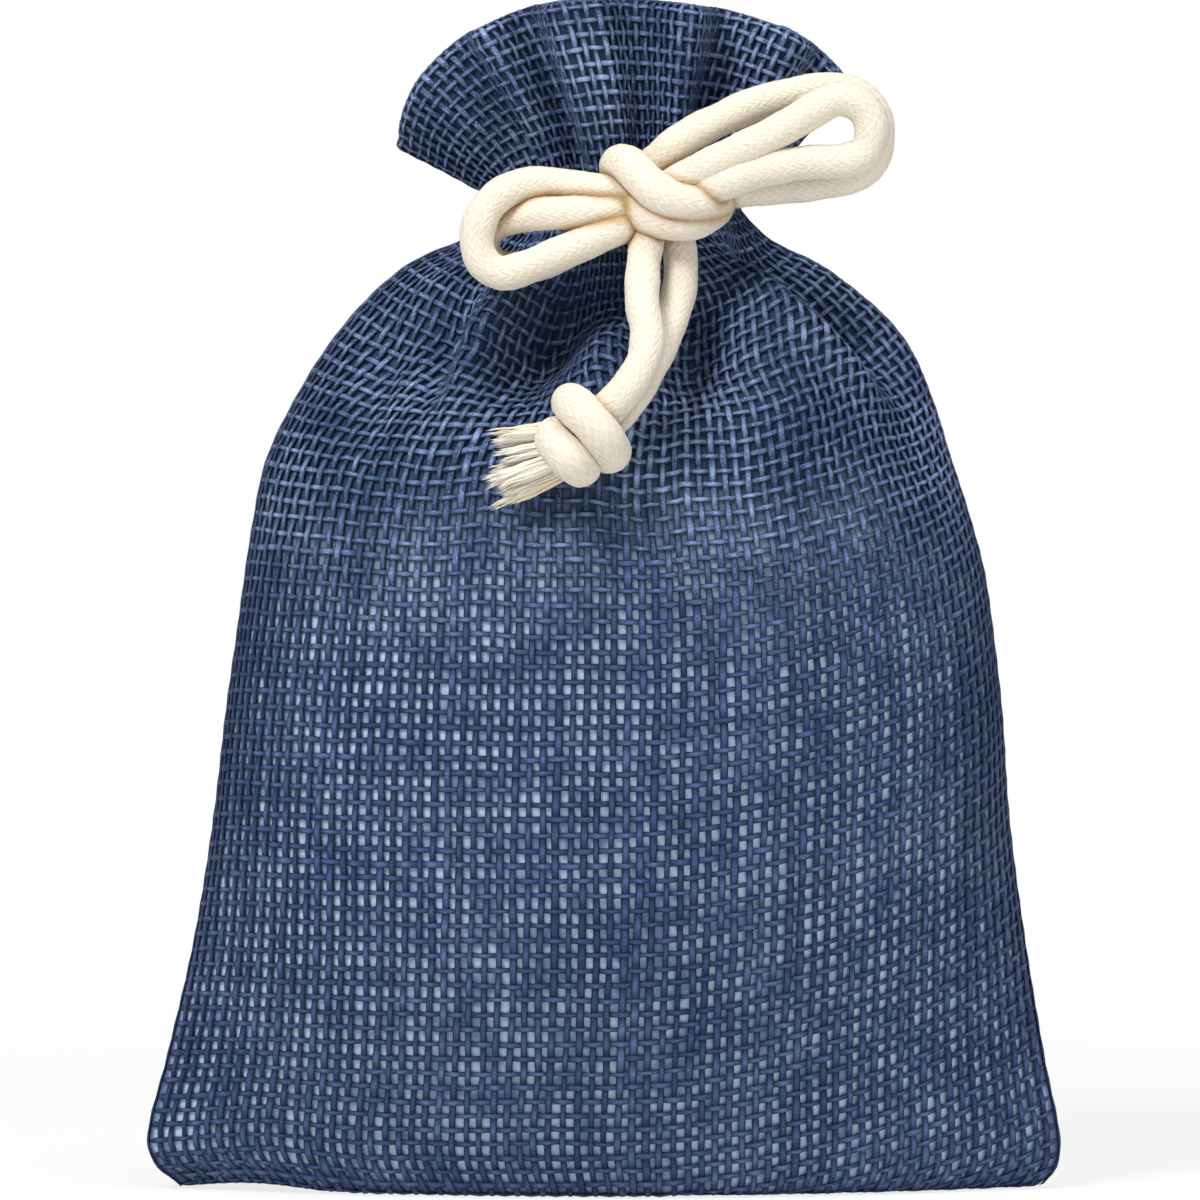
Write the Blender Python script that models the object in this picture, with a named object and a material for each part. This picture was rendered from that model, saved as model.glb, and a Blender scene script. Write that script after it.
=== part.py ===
"""Drawstring pouch: a filled cloth bag gathered at the neck and tied shut with a bow.

Metres, +Z up. The bag stands on its flat bottom, its front faces -Y.
"""
import functools
import math

import bmesh
import bpy
from mathutils import Vector

# Bag: cloth cut 0.100 wide and 0.140 high when flat, here filled and standing.
BASE_WIDTH = 0.0962
BAG_DEPTH = 0.0450
FOOT_WIDTH = 0.0904
FOOT_DEPTH = 0.0250
NECK_HEIGHT = 0.1033
NECK_WIDTH = 0.0216
NECK_DEPTH = 0.0190
NECK_LEAN = 0.0028

# Ruffled header above the neck: a thin double wall, open at the top.
HEADER_RISE = 0.0215
HEADER_DROP_LEFT = 0.0134
HEADER_DROP_RIGHT = 0.0082
HEADER_REACH_LEFT = 0.0206
HEADER_REACH_RIGHT = 0.0242
HEADER_DEPTH = 0.0200
HEADER_WALL = 0.0009
THROAT_START = 0.24

# How the header opens: powers of the way up that its width and its height follow.
HEADER_FLARE_POWER = 1.12
HEADER_LIFT_POWER = 0.92

# Length of cord between two places of a loop that count as its two legs.
LEGS_APART = 0.0120

# Depth of the gathers, from their middle surface.
SHOULDER_FOLD = 0.0032
NECK_FOLD = 0.0005
RIM_FOLD = 0.0034

# Cord.
CORD_DIAMETER = 0.0040
CLEARANCE = 0.0003
KNOT_RADIUS = 0.0044
KNOT_END_RADIUS = 0.0048
KNOT_SIDE_SHIFT = 0.0031
KNOT_RISE = 0.0009
KNOT_STANDOFF = 0.0012
CHANNEL_WALL = 0.0012
EXIT_SPACING = 0.0056
END_KNOT_LENGTH = 0.0100
END_KNOT_RADIUS = 0.0040
FRAYED_END_RADIUS = 0.0019
FRAYED_TIP_RADIUS = 0.0023

# Mesh fineness.
COLUMNS = 120
CORD_SIDES_RESOLUTION = 2
CORD_POINT_STEP = 0.0030
CURVE_PARTS = 16
FOLD_LINE_POINTS = 42
END_KNOT_SEGMENTS = 20
END_KNOT_RINGS = 12

# Outline of the bag between foot and neck. Each row is a height as a share of the neck's, how far
# the half width has gone from the neck's to the base's, the centre's shift to the right, how far
# the half depth has gone from the neck's to the fullest, and how pointed the sides are
# (1 is a lens that ends in its side seams, 0.5 is an ellipse).
BAG_OUTLINE = (
    (0.000, 0.932, 0.0006, 0.230, 0.96),
    (0.014, 0.970, 0.0004, 0.270, 1.00),
    (0.045, 1.000, 0.0000, 0.370, 1.00),
    (0.132, 0.949, 0.0002, 0.600, 0.86),
    (0.252, 0.883, 0.0006, 0.830, 0.69),
    (0.378, 0.832, 0.0008, 0.965, 0.58),
    (0.500, 0.800, 0.0011, 1.000, 0.53),
    (0.620, 0.752, 0.0012, 0.985, 0.51),
    (0.683, 0.712, 0.0009, 0.930, 0.50),
    (0.744, 0.657, 0.0006, 0.845, 0.50),
    (0.804, 0.578, 0.0012, 0.730, 0.50),
    (0.866, 0.468, 0.0018, 0.550, 0.50),
    (0.927, 0.286, 0.0014, 0.300, 0.50),
    (0.958, 0.126, 0.0016, 0.140, 0.50),
    (1.000, 0.000, NECK_LEAN, 0.000, 0.50),
)
BAG_LEVELS = (
    0.0, 0.014, 0.045, 0.09, 0.15, 0.22, 0.30, 0.39, 0.47, 0.54, 0.60, 0.65, 0.69,
    0.725, 0.76, 0.79, 0.82, 0.85, 0.88, 0.91, 0.935, 0.958, 0.98,
)
HEADER_LEVELS = (1.0, 1.12, 1.25, 1.40, 1.55, 1.70, 1.85, 2.0)
FOOT_SHARES = (0.4, 0.75)

# Ridges and valleys of the gathers, going round from the front (0 degrees) to the right:
# the angle in degrees and the height, 1 out and -1 in.
SHOULDER_GATHERS = (
    (-160, -0.7), (-138, 0.7), (-114, -0.6), (-90, 0.5), (-64, 0.1), (-43, -0.2), (-31, 0.2),
    (-18, -0.4), (-4, 0.2), (12, -0.3), (28, 0.3), (46, 0.3), (66, -0.4), (88, 0.4),
    (112, -0.6), (136, 0.7), (158, -0.7), (180, 0.6),
)
HEADER_GATHERS = (
    (-162, -0.9), (-140, 0.9), (-116, -0.8), (-92, 0.6), (-70, 0.4), (-50, -0.8), (-37, 0.6),
    (-25, -1.0), (-14, 0.7), (-2, 0.3), (8, -1.0), (21, 0.9), (34, -1.0), (52, 0.8), (74, -0.4),
    (95, 0.7), (118, -0.9), (140, 0.9), (161, -0.8), (180, 0.8),
)
# How strongly the gathers show: place up the cloth (1 is the neck, 2 the rim), share of the depth.
SHOULDER_STRENGTH = (
    (0.0, 0.0), (0.56, 0.0), (0.68, 0.18), (0.76, 0.48), (0.82, 0.78), (0.88, 1.0), (0.94, 0.95),
    (0.97, 0.5), (1.0, 0.0),
)
NECK_STRENGTH = ((0.0, 0.0), (0.94, 0.0), (1.0, 1.0))
HEADER_STRENGTH = ((1.0, 0.0), (1.1, 0.4), (1.4, 0.8), (2.0, 1.0))

# Folds that run down the front from the neck: the height (less than 0 for a valley), the width,
# and the places that the fold goes through, as angles in degrees and shares of the neck's height.
FRONT_FOLDS = (
    (-0.0066, 0.0044, ((4, 0.975), (-2, 0.947), (-8, 0.917), (-16, 0.885), (-21, 0.857),
                       (-22, 0.82), (-21, 0.75))),
    (0.0018, 0.0018, ((-24, 0.94), (-30, 0.897), (-34, 0.882), (-35, 0.857), (-34, 0.83),
                      (-31, 0.765))),
    (-0.0028, 0.0024, ((-42, 0.95), (-46, 0.90), (-40, 0.86), (-38, 0.82), (-34, 0.765))),
    (0.0016, 0.0026, ((-2, 0.935), (-6, 0.905), (-6, 0.865), (-9, 0.825))),
    (-0.0048, 0.0038, ((26, 0.965), (22, 0.935), (18, 0.90), (16, 0.855), (12, 0.815), (8, 0.74))),
    (0.0020, 0.0048, ((31, 0.93), (32, 0.86), (34, 0.81), (32, 0.759), (24, 0.69))),
    (0.0020, 0.0018, ((50, 0.975), (41, 0.935), (40, 0.90), (48, 0.85), (58, 0.812), (76, 0.775))),
    (-0.0036, 0.0028, ((66, 0.975), (58, 0.955), (60, 0.915), (66, 0.87), (80, 0.82))),
    (-0.0018, 0.0030, ((-64, 0.92), (-58, 0.86), (-52, 0.80), (-50, 0.73))),
    (0.0006, 0.0060, ((-80, 0.66), (-30, 0.62), (0, 0.61), (30, 0.64), (80, 0.72))),
)
# Shares of a fold's length over which it rises at its upper end, and fades at its lower end.
FOLD_RISE = 0.4
FOLD_FADE = 0.4
# Widths from its line at which a fold has faded out.
FOLD_REACH = 2.6

# Cord routes, each point measured from the middle of the bow's knot.
LEFT_LOOP_FRONT = (
    (-0.0088, -0.0022, 0.0010), (-0.0114, -0.0021, 0.0014), (-0.0141, -0.0022, 0.0015),
    (-0.0167, -0.0026, 0.0007), (-0.0184, -0.0030, -0.0014), (-0.0190, -0.0032, -0.0039),
    (-0.0182, -0.0033, -0.0060), (-0.0164, -0.0035, -0.0069), (-0.0141, -0.0037, -0.0064),
    (-0.0110, -0.0038, -0.0052), (-0.0086, -0.0036, -0.0042),
)
LEFT_LOOP_BACK = (
    (-0.0088, 0.0022, -0.0010), (-0.0115, 0.0022, -0.0011), (-0.0141, 0.0022, -0.0013),
    (-0.0162, 0.0020, -0.0020), (-0.0172, 0.0017, -0.0032), (-0.0173, 0.0013, -0.0045),
    (-0.0163, 0.0010, -0.0056), (-0.0142, 0.0009, -0.0059), (-0.0115, 0.0009, -0.0050),
    (-0.0088, 0.0011, -0.0039),
)
RIGHT_LOOP_FRONT = (
    (0.0056, -0.0034, 0.0041), (0.0082, -0.0038, 0.0053), (0.0108, -0.0042, 0.0066),
    (0.0139, -0.0043, 0.0084), (0.0160, -0.0043, 0.0096), (0.0181, -0.0042, 0.0106),
    (0.0198, -0.0041, 0.0102), (0.0210, -0.0040, 0.0088), (0.0213, -0.0040, 0.0070),
    (0.0205, -0.0040, 0.0055), (0.0186, -0.0040, 0.0046), (0.0155, -0.0041, 0.0044),
    (0.0124, -0.0041, 0.0039), (0.0093, -0.0040, 0.0032), (0.0072, -0.0037, 0.0023),
)
RIGHT_LOOP_BACK = (
    (0.0039, 0.0004, 0.0073), (0.0062, 0.0003, 0.0085), (0.0093, 0.0003, 0.0099),
    (0.0124, 0.0003, 0.0108), (0.0155, 0.0003, 0.0113), (0.0184, 0.0004, 0.0115),
    (0.0209, 0.0005, 0.0106), (0.0223, 0.0006, 0.0084), (0.0224, 0.0006, 0.0056),
    (0.0211, 0.0005, 0.0036), (0.0190, 0.0003, 0.0026), (0.0164, 0.0003, 0.0021),
    (0.0135, 0.0004, 0.0018), (0.0104, 0.0006, 0.0015), (0.0082, 0.0008, 0.0013),
)
LEFT_TAIL = (
    (-0.0018, -0.0030, -0.0056), (-0.0021, -0.0048, -0.0080), (-0.0020, -0.0068, -0.0106),
    (-0.0014, -0.0086, -0.0134), (-0.0018, -0.0100, -0.0162), (-0.0034, -0.0110, -0.0186),
)
RIGHT_TAIL = (
    (0.0022, 0.0004, -0.0050), (0.0024, -0.0006, -0.0078), (0.0018, -0.0020, -0.0106),
    (0.0008, -0.0036, -0.0136), (-0.0006, -0.0052, -0.0166), (-0.0022, -0.0064, -0.0194),
)
END_KNOT_CENTRE = (-0.0073, -0.0104, -0.0235)
END_KNOT_AXIS = (-0.75, 0.0, -0.66)
UPPER_END = ((-0.0128, -0.0104, -0.0244), (-0.0150, -0.0098, -0.0248), (-0.0172, -0.0090, -0.0252))
LOWER_END = ((-0.0108, -0.0098, -0.0284), (-0.0136, -0.0092, -0.0299), (-0.0168, -0.0084, -0.0314))
BOW_KNOT_ROUTE = (
    (-0.0072, -0.0008, -0.0016), (-0.0048, -0.0003, -0.0010), (-0.0020, 0.0, -0.0004),
    (0.0008, 0.0, 0.0006), (0.0030, -0.0005, 0.0019), (0.0048, -0.0009, 0.0032),
)
# Route of the hidden run, as shares of the room inside the gathered neck.
CHANNEL_ROUTE = (
    (-0.60, -1.00), (-0.93, -0.42), (-1.00, 0.12), (-0.76, 0.66), (0.0, 1.00),
    (0.76, 0.66), (1.00, 0.12), (0.93, -0.42), (0.60, -1.00),
)

CORD_RADIUS = CORD_DIAMETER / 2
NORMAL_STEP = 0.004


def clear_scene():
    for existing in list(bpy.data.objects):
        bpy.data.objects.remove(existing, do_unlink=True)


def new_collection(name):
    collection = bpy.data.collections.new(name)
    bpy.context.scene.collection.children.link(collection)
    return collection


def make_material(name, colour, roughness):
    material = bpy.data.materials.new(name)
    material.use_nodes = True
    shader = material.node_tree.nodes["Principled BSDF"]
    shader.inputs["Base Color"].default_value = (*colour, 1.0)
    shader.inputs["Roughness"].default_value = roughness
    shader.inputs["Metallic"].default_value = 0.0
    return material


def smooth_between(rows, place):
    """Values of the rows at a place, on cubic curves through them."""
    place = min(max(place, rows[0][0]), rows[-1][0])
    index = 0
    while index < len(rows) - 2 and place > rows[index + 1][0]:
        index += 1
    low = rows[index]
    high = rows[index + 1]
    before = rows[max(index - 1, 0)]
    after = rows[min(index + 2, len(rows) - 1)]
    span = high[0] - low[0]
    t = (place - low[0]) / span
    values = []
    for column in range(1, len(low)):
        slope_low = (high[column] - before[column]) / (high[0] - before[0]) * span
        slope_high = (after[column] - low[column]) / (after[0] - low[0]) * span
        values.append(
            (2 * t**3 - 3 * t**2 + 1) * low[column]
            + (t**3 - 2 * t**2 + t) * slope_low
            + (3 * t**2 - 2 * t**3) * high[column]
            + (t**3 - t**2) * slope_high
        )
    return values


def straight_between(rows, place):
    """Value of the rows at a place, on straight runs between them."""
    for low, high in zip(rows, rows[1:]):
        if place <= high[0]:
            return low[1] + (high[1] - low[1]) * (place - low[0]) / (high[0] - low[0])
    return rows[-1][1]


def eased(share):
    """A smooth step from 0 to 1 as a share goes from 0 to 1."""
    share = min(max(share, 0.0), 1.0)
    return share * share * (3 - 2 * share)


def gather_height(gathers, angle):
    """Height of the ridges and valleys at an angle, as half cosine waves between them."""
    degrees = math.degrees(angle)
    first = gathers[0]
    last = gathers[-1]
    ring = [(last[0] - 360, last[1]), *gathers, (first[0] + 360, first[1])]
    for low, high in zip(ring, ring[1:]):
        if low[0] <= degrees <= high[0]:
            turn = (1 - math.cos(math.pi * (degrees - low[0]) / (high[0] - low[0]))) / 2
            return low[1] + (high[1] - low[1]) * turn
    return 0.0


def bag_point(angle, height_share):
    """Point of the smooth bag, before its gathers."""
    spread, shift, fullness, point = smooth_between(BAG_OUTLINE, height_share)
    half_width = (NECK_WIDTH + (BASE_WIDTH - NECK_WIDTH) * spread) / 2
    half_depth = (NECK_DEPTH + (BAG_DEPTH - NECK_DEPTH) * fullness) / 2
    at_foot = height_share == BAG_LEVELS[0]
    if at_foot:
        half_width = FOOT_WIDTH / 2
        half_depth = FOOT_DEPTH / 2
    cosine = math.cos(angle)
    return Vector((
        shift + half_width * math.sin(angle),
        -half_depth * math.copysign(abs(cosine) ** (2 * point), cosine),
        NECK_HEIGHT * height_share,
    ))


def header_point(angle, share):
    """Point of the smooth header, share 0 at the neck and 1 at the rim."""
    sine = math.sin(angle)
    cosine = math.cos(angle)
    neck = Vector((NECK_LEAN + sine * NECK_WIDTH / 2, -cosine * NECK_DEPTH / 2, NECK_HEIGHT))
    reach = HEADER_REACH_RIGHT if sine > 0 else HEADER_REACH_LEFT
    drop = HEADER_DROP_RIGHT if sine > 0 else HEADER_DROP_LEFT
    rim_height = NECK_HEIGHT + HEADER_RISE - drop * (1 - math.sqrt(max(0.0, 1 - sine**2)))
    rim = Vector((sine * reach, -cosine * HEADER_DEPTH / 2, rim_height))
    flare = share**HEADER_FLARE_POWER
    lift = share**HEADER_LIFT_POWER
    return Vector((
        neck.x + (rim.x - neck.x) * flare,
        neck.y + (rim.y - neck.y) * flare,
        neck.z + (rim.z - neck.z) * lift,
    ))


def smooth_point(angle, place):
    if place <= 1.0:
        return bag_point(angle, place)
    return header_point(angle, place - 1.0)


def cloth_frame(surface, angle, place):
    """A surface's point and outward normal there."""
    low = max(place - NORMAL_STEP, 0.0)
    high = min(place + NORMAL_STEP, 2.0)
    across = surface(angle + NORMAL_STEP, place) - surface(angle - NORMAL_STEP, place)
    along = surface(angle, high) - surface(angle, low)
    return surface(angle, place), across.cross(along).normalized()


def fold_line(places):
    """Points on the smooth bag along a fold, with how far along it each one is."""
    line = []
    for number in range(FOLD_LINE_POINTS):
        along = number / (FOLD_LINE_POINTS - 1)
        run = min(int(along * (len(places) - 1)), len(places) - 2)
        share = along * (len(places) - 1) - run
        angle = places[run][0] + (places[run + 1][0] - places[run][0]) * share
        height = places[run][1] + (places[run + 1][1] - places[run][1]) * share
        line.append((bag_point(math.radians(angle), height), along))
    return line


@functools.cache
def fold_lines():
    return [(height, width, fold_line(places)) for height, width, places in FRONT_FOLDS]


def front_fold_height(point):
    """Height of the front's folds at a point, from its distance to each fold's line."""
    total = 0.0
    if point.y > 0.0:
        return total
    for height, width, line in fold_lines():
        distance, along = min(((point - spot).length, along) for spot, along in line)
        if distance < width * FOLD_REACH:
            strength = eased(along / FOLD_RISE) * eased((1.0 - along) / FOLD_FADE)
            total += height * strength * math.exp(-((distance / width) ** 2))
    return total


def gathered_point(angle, place):
    """Point of the cloth's outer face with its gathers."""
    angle = (angle + math.pi) % (2 * math.pi) - math.pi
    point, normal = cloth_frame(smooth_point, angle, place)
    if place <= 1.0:
        strength = straight_between(SHOULDER_STRENGTH, place)
        depth = SHOULDER_FOLD * strength * gather_height(SHOULDER_GATHERS, angle)
        strength = straight_between(NECK_STRENGTH, place)
        depth += NECK_FOLD * strength * gather_height(HEADER_GATHERS, angle)
        depth += front_fold_height(point)
    else:
        strength = straight_between(HEADER_STRENGTH, place)
        fold = NECK_FOLD + (RIM_FOLD - NECK_FOLD) * strength
        depth = fold * gather_height(HEADER_GATHERS, angle)
    return point + normal * depth


def inner_point(angle, place):
    """Point of the header's inner face, one wall inside the outer face."""
    point, normal = cloth_frame(gathered_point, angle, place)
    return point - normal * HEADER_WALL


def pouch_rings():
    """One function of the angle for each ring, from the middle of the foot to the throat."""
    foot_centre = Vector((0.0, 0.0, 0.0))
    rings = [lambda angle: foot_centre]
    for share in FOOT_SHARES:
        rings.append(lambda angle, share=share: foot_centre.lerp(bag_point(angle, 0.0), share))
    for level in BAG_LEVELS + HEADER_LEVELS:
        rings.append(lambda angle, level=level: gathered_point(angle, level))
    inner_levels = [level for level in reversed(HEADER_LEVELS) if level > 1.0 + THROAT_START]
    for level in inner_levels:
        rings.append(lambda angle, level=level: inner_point(angle, level))
    throat = Vector((NECK_LEAN, 0.0, NECK_HEIGHT + HEADER_RISE * THROAT_START))
    rings.append(lambda angle: throat)
    return rings


def make_pouch(collection, material):
    """Bag and header in one: a profile spun round, then pressed to the gathered cloth's form."""
    rings = pouch_rings()
    last = len(rings) - 1
    bm = bmesh.new()
    profile = []
    for index in range(len(rings)):
        radius = 0.0 if index in (0, last) else 1.0
        profile.append(bm.verts.new((0.0, -radius, float(index))))
    edges = [bm.edges.new(pair) for pair in zip(profile, profile[1:])]
    bmesh.ops.spin(
        bm, geom=profile + edges, cent=(0, 0, 0), axis=(0, 0, 1), angle=2 * math.pi,
        steps=COLUMNS, use_merge=True, use_duplicate=False,
    )
    bmesh.ops.remove_doubles(bm, verts=bm.verts, dist=0.0001)
    for vert in bm.verts:
        angle = math.atan2(vert.co.x, -vert.co.y)
        vert.co = rings[round(vert.co.z)](angle)
    bmesh.ops.triangulate(bm, faces=bm.faces)
    bmesh.ops.recalc_face_normals(bm, faces=bm.faces)
    mesh = bpy.data.meshes.new("pouch")
    bm.to_mesh(mesh)
    bm.free()
    mesh.materials.append(material)
    mesh.shade_smooth()
    pouch = bpy.data.objects.new("pouch", mesh)
    collection.objects.link(pouch)
    return pouch


def smooth_route(points, step):
    """Points spaced by about one step on a smooth curve through the route's own points."""
    ends = [points[0] * 2 - points[1], *points, points[-1] * 2 - points[-2]]
    dense = []
    for index in range(1, len(ends) - 2):
        a, b, c, d = ends[index - 1:index + 3]
        for part in range(CURVE_PARTS):
            t = part / CURVE_PARTS
            dense.append((
                b * 2 + (c - a) * t + (a * 2 - b * 5 + c * 4 - d) * t**2
                + (b * 3 - a - c * 3 + d) * t**3
            ) / 2)
    dense.append(points[-1])
    lengths = [0.0]
    for low, high in zip(dense, dense[1:]):
        lengths.append(lengths[-1] + (high - low).length)
    count = max(2, math.ceil(lengths[-1] / step))
    route = []
    for number in range(count + 1):
        target = lengths[-1] * number / count
        index = 0
        while index < len(dense) - 2 and lengths[index + 1] < target:
            index += 1
        share = (target - lengths[index]) / (lengths[index + 1] - lengths[index])
        route.append(dense[index].lerp(dense[index + 1], min(1.0, share)))
    return route


def pressed_shares(points, route):
    """Share of the cord's radius at each place, less where a loop's two legs press together."""
    step = CORD_POINT_STEP / CURVE_PARTS
    fine = smooth_route(points, step)
    shares = []
    for number, point in enumerate(route):
        here = number * (len(fine) - 1) / (len(route) - 1)
        rooms = [
            (spot - point).length for place, spot in enumerate(fine)
            if abs(place - here) * step > LEGS_APART
        ]
        room = min(rooms, default=CORD_DIAMETER)
        shares.append(min(1.0, (room - CLEARANCE) / CORD_DIAMETER))
    return shares


def make_tube(name, collection, material, route, radius, radii=None):
    """Round tube with closed ends along a route."""
    curve = bpy.data.curves.new(name, "CURVE")
    curve.dimensions = "3D"
    curve.bevel_depth = radius
    curve.bevel_resolution = CORD_SIDES_RESOLUTION
    curve.use_fill_caps = True
    curve.resolution_u = 1
    spline = curve.splines.new("POLY")
    spline.points.add(len(route) - 1)
    for index, point in enumerate(route):
        spline.points[index].co = (*point, 1.0)
        if radii:
            spline.points[index].radius = radii[index]
    curve.materials.append(material)
    tube = bpy.data.objects.new(name, curve)
    collection.objects.link(tube)
    return tube


def tube_as_mesh(tube):
    """The same tube as a mesh with its end caps welded on."""
    depsgraph = bpy.context.evaluated_depsgraph_get()
    mesh = bpy.data.meshes.new_from_object(tube.evaluated_get(depsgraph))
    bm = bmesh.new()
    bm.from_mesh(mesh)
    bmesh.ops.remove_doubles(bm, verts=bm.verts, dist=0.00001)
    bmesh.ops.recalc_face_normals(bm, faces=bm.faces)
    bm.to_mesh(mesh)
    bm.free()
    name = tube.name
    collection = tube.users_collection[0]
    bpy.data.objects.remove(tube, do_unlink=True)
    solid = bpy.data.objects.new(name, mesh)
    collection.objects.link(solid)
    return solid


def knot_centre():
    """Middle of the bow's knot, in front of the neck."""
    front = NECK_DEPTH / 2 + NECK_FOLD
    return Vector((
        NECK_LEAN + KNOT_SIDE_SHIFT,
        -(front + KNOT_STANDOFF + KNOT_RADIUS),
        NECK_HEIGHT + KNOT_RISE,
    ))


def from_knot(points):
    centre = knot_centre()
    return [centre + Vector(point) for point in points]


def channel_points():
    """Hidden run of the cord inside the gathered neck, out to both exits behind the knot."""
    inset = CORD_RADIUS + CLEARANCE + CHANNEL_WALL + NECK_FOLD
    room_x = NECK_WIDTH / 2 - inset
    room_y = NECK_DEPTH / 2 - inset
    points = [
        Vector((NECK_LEAN + x * room_x, y * room_y, NECK_HEIGHT)) for x, y in CHANNEL_ROUTE
    ]
    middle = Vector((NECK_LEAN, 0.0, NECK_HEIGHT))
    exit_depth = knot_centre().y + KNOT_END_RADIUS + CLEARANCE
    exits = [
        middle + Vector((side * EXIT_SPACING / 2, exit_depth, 0.0)) for side in (-1, 1)
    ]
    return [exits[0], *points, exits[1]]


def make_channel_cord(collection, cutters, material, pouch):
    """The cord's run round the neck, and the channel it lies in, cut through the gathers."""
    points = channel_points()
    route = smooth_route(points, CORD_POINT_STEP)
    make_tube("neck_cord", collection, material, route, CORD_RADIUS)
    past_cloth = Vector((0.0, -CORD_DIAMETER, 0.0))
    channel_route = [route[0] + past_cloth, *route, route[-1] + past_cloth]
    channel = make_tube("channel_cutter", cutters, material, channel_route, CORD_RADIUS + CLEARANCE)
    channel = tube_as_mesh(channel)
    channel.hide_render = True
    channel.display_type = "WIRE"
    cut = pouch.modifiers.new("channel", "BOOLEAN")
    cut.operation = "DIFFERENCE"
    cut.object = channel


def make_bow_knot(collection, material):
    """The bow's knot with the roots of its loops, one closed solid."""
    route = from_knot(BOW_KNOT_ROUTE)
    end = KNOT_END_RADIUS / KNOT_RADIUS
    radii = (end, end, 1.0, 1.0, end, end)
    make_tube("bow_knot", collection, material, route, KNOT_RADIUS, radii)


def make_cord_runs(collection, material):
    """Loops and tails of the bow."""
    runs = {
        "left_loop_front": LEFT_LOOP_FRONT,
        "left_loop_back": LEFT_LOOP_BACK,
        "right_loop_front": RIGHT_LOOP_FRONT,
        "right_loop_back": RIGHT_LOOP_BACK,
        "left_tail": LEFT_TAIL,
        "right_tail": RIGHT_TAIL,
    }
    for name, points in runs.items():
        spots = from_knot(points)
        route = smooth_route(spots, CORD_POINT_STEP)
        make_tube(name, collection, material, route, CORD_RADIUS, pressed_shares(spots, route))


def make_end_knot(collection, material):
    """Stopper knot that holds both tails, a solid turned about the tails' own direction."""
    centre = from_knot((END_KNOT_CENTRE,))[0]
    bm = bmesh.new()
    bmesh.ops.create_uvsphere(
        bm, u_segments=END_KNOT_SEGMENTS, v_segments=END_KNOT_RINGS, radius=END_KNOT_RADIUS
    )
    stretch = END_KNOT_LENGTH / (2 * END_KNOT_RADIUS)
    bmesh.ops.scale(bm, vec=(1.0, 1.0, stretch), verts=bm.verts)
    mesh = bpy.data.meshes.new("end_knot")
    bm.to_mesh(mesh)
    bm.free()
    mesh.materials.append(material)
    mesh.shade_smooth()
    knot = bpy.data.objects.new("end_knot", mesh)
    knot.location = centre
    knot.rotation_mode = "QUATERNION"
    knot.rotation_quaternion = Vector(END_KNOT_AXIS).to_track_quat("Z", "Y")
    collection.objects.link(knot)


def make_cord_ends(collection, material):
    """The two frayed ends past the stopper knot, opening towards their tips."""
    for name, points in (("upper_end", UPPER_END), ("lower_end", LOWER_END)):
        route = from_knot(points)
        flare = FRAYED_TIP_RADIUS / FRAYED_END_RADIUS - 1.0
        last = len(route) - 1
        radii = [1.0 + flare * index / last for index in range(len(route))]
        make_tube(name, collection, material, route, FRAYED_END_RADIUS, radii)


clear_scene()
parts = new_collection("drawstring_pouch")
cutters = new_collection("cutters")
cloth = make_material("blue_cloth", (0.076, 0.112, 0.216), 0.75)
cotton = make_material("cotton_cord", (0.84, 0.75, 0.62), 0.85)
pouch_body = make_pouch(parts, cloth)
make_channel_cord(parts, cutters, cotton, pouch_body)
make_bow_knot(parts, cotton)
make_cord_runs(parts, cotton)
make_end_knot(parts, cotton)
make_cord_ends(parts, cotton)
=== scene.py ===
import math

import bmesh
import bpy
import numpy as np
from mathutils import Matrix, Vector


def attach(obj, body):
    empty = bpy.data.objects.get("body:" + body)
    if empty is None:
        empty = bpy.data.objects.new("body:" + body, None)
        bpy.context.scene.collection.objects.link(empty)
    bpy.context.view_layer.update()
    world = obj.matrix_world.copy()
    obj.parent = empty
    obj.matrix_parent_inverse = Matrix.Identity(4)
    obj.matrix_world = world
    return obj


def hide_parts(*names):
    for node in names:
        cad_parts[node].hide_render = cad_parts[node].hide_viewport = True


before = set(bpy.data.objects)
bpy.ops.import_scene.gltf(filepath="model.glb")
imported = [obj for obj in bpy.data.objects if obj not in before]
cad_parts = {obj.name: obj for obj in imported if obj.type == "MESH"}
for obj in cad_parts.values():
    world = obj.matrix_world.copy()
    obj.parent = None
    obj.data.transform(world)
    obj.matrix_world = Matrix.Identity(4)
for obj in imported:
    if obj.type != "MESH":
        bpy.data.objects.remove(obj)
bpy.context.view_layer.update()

# Camera. A long lens a little above the middle of the pouch, square to its front, so that
# 126 mm at the pouch fills the frame.
VIEW_MIDDLE = Vector((-0.0004, 0.0, 0.0621))
VIEW_DISTANCE = 1.5
VIEW_WIDTH = 0.1263
VIEW_LIFT = math.radians(2.5)
camera_data = bpy.data.cameras.new("camera")
camera_data.sensor_width = 36.0
camera_data.lens = camera_data.sensor_width * VIEW_DISTANCE / VIEW_WIDTH
camera = bpy.data.objects.new("camera", camera_data)
bpy.context.scene.collection.objects.link(camera)
view_back = Vector((0.0, -math.cos(VIEW_LIFT), math.sin(VIEW_LIFT)))
camera.location = VIEW_MIDDLE + view_back * VIEW_DISTANCE
camera.rotation_mode = "QUATERNION"
camera.rotation_quaternion = (-view_back).to_track_quat("-Z", "Y")
bpy.context.scene.camera = camera

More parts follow.
